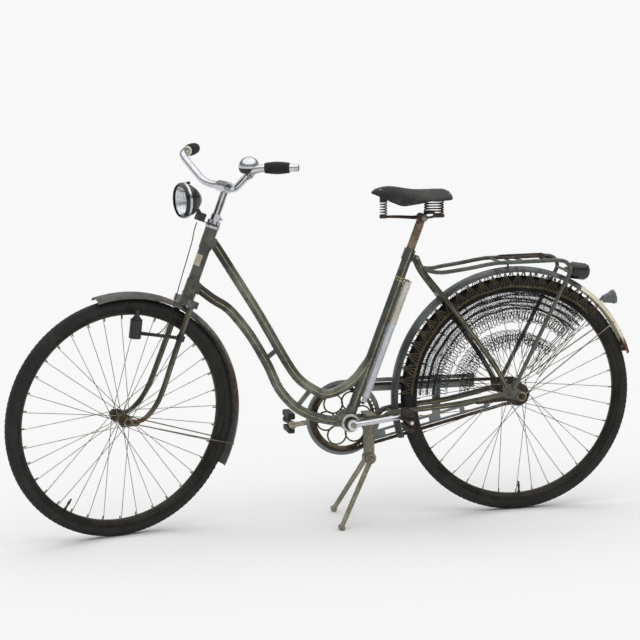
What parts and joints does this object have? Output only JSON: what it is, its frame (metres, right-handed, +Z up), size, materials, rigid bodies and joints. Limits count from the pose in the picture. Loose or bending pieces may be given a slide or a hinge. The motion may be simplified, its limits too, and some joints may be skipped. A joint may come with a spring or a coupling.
{
  "type": "weathered step-through bicycle",
  "caption": "Old step-through roadster bicycle with curved twin tubes, mudguards, string skirt guards, carrier, sprung saddle and centre stand.",
  "frame": {"origin": "on the floor, straight below the rear axle, in the centre plane", "axes": "+X forward, +Y to the rider's left, +Z up"},
  "size_m": [1.8767, 0.5813, 1.1006],
  "materials": {
    "frame_paint": "worn dark grey-green enamel with gold lining and rust",
    "carrier_paint": "worn grey-green enamel over rust",
    "guard_paint": "dull grey-green enamel, rusting",
    "cream_paint": "cream enamel, rusting at its edges",
    "rusty_steel": "rusted steel",
    "bright_steel": "dull plated steel with rust spots",
    "rim_steel": "dull rim, brown with rust",
    "chrome_plate": "worn chrome plating",
    "saddle_leather": "black, cracked and dusty",
    "black_shell": "black enamel",
    "grey_shell": "dull grey",
    "pump_alloy": "dull pale metal",
    "stand_alloy": "dull beige-grey with rust",
    "net_string": "black knotted string",
    "lead": "matt",
    "grip_rubber": "matt ribbed",
    "block_rubber": "aged and stained",
    "lens_glass": "clear",
    "tyre_rubber": "aged"
  },
  "bodies": {
    "frame": {"head_tube": "frame_paint", "top_tube": "frame_paint", "down_tube": "frame_paint", "frame_braces": "frame_paint", "seat_tube": "frame_paint", "bottom_bracket": "frame_paint", "chain_stays": "frame_paint", "seat_stays": "frame_paint", "rear_dropouts": "frame_paint", "rear_axle": "rusty_steel", "coaster_arm": "rusty_steel", "seat_post": "rusty_steel", "saddle_cover": "saddle_leather", "saddle_frame": "rusty_steel", "saddle_springs": "rusty_steel", "rear_mudguard": "guard_paint", "mudguard_tail": "cream_paint", "rear_guard_stays": "bright_steel", "carrier": "carrier_paint", "carrier_clip": "rusty_steel", "tail_lamp": "black_shell", "rear_reflector": "grey_shell", "chain_guard": "guard_paint", "chain": "rusty_steel", "pump": "pump_alloy", "stand_bracket": "stand_alloy", "skirt_nets": "net_string"},
    "fork": {"steerer": "frame_paint", "fork_blades": "frame_paint", "front_axle": "rusty_steel", "front_mudguard": "guard_paint", "front_guard_stays": "bright_steel", "stem": "chrome_plate", "handlebar": "chrome_plate", "grips": "grip_rubber", "bell": "chrome_plate", "headlamp": "black_shell", "lamp_lens": "lens_glass", "lamp_bracket": "black_shell", "dynamo": "black_shell", "dynamo_lead": "lead"},
    "front_wheel": {"front_hub": "bright_steel", "front_spokes": "bright_steel", "front_rim": "rim_steel", "front_tyre": "tyre_rubber"},
    "rear_wheel": {"rear_hub": "bright_steel", "sprocket": "rusty_steel", "rear_spokes": "bright_steel", "rear_rim": "rim_steel", "rear_tyre": "tyre_rubber"},
    "crankset": {"crank_spindle": "bright_steel", "chainring": "bright_steel", "cranks": "chrome_plate"},
    "left_pedal": {"left_pedal": "rusty_steel", "left_pedal_blocks": "block_rubber"},
    "right_pedal": {"right_pedal": "rusty_steel", "right_pedal_blocks": "block_rubber"},
    "stand": {"centre_stand": "stand_alloy"}
  },
  "joints": [
    {"name": "steering", "type": "hinge", "parent": "frame", "child": "fork", "pos_m": [0.97163, 0, 0.69655], "axis": [-0.3584, 0, 0.9336], "range_deg": [-66, 34]},
    {"name": "front_wheel_spin", "type": "hinge", "parent": "fork", "child": "front_wheel", "pos_m": [1.18229, 0.02067, 0.34896], "axis": [-0.2573, 0.9613, -0.0988], "continuous": true},
    {"name": "rear_wheel_spin", "type": "hinge", "parent": "frame", "child": "rear_wheel", "pos_m": [0, 0, 0.35], "axis": [0, 1, 0], "continuous": true},
    {"name": "crank_spin", "type": "hinge", "parent": "frame", "child": "crankset", "pos_m": [0.512, 0, 0.296], "axis": [0, 1, 0], "continuous": true},
    {"name": "left_pedal_spin", "type": "hinge", "parent": "crankset", "child": "left_pedal", "pos_m": [0.36282, 0.12, 0.31168], "axis": [0, 1, 0], "continuous": true},
    {"name": "right_pedal_spin", "type": "hinge", "parent": "crankset", "child": "right_pedal", "pos_m": [0.66118, -0.12, 0.28032], "axis": [0, 1, 0], "continuous": true},
    {"name": "stand_fold", "type": "hinge", "parent": "frame", "child": "stand", "pos_m": [0.449, 0, 0.183], "axis": [0, 1, 0], "range_deg": [0, 105]}
  ]
}
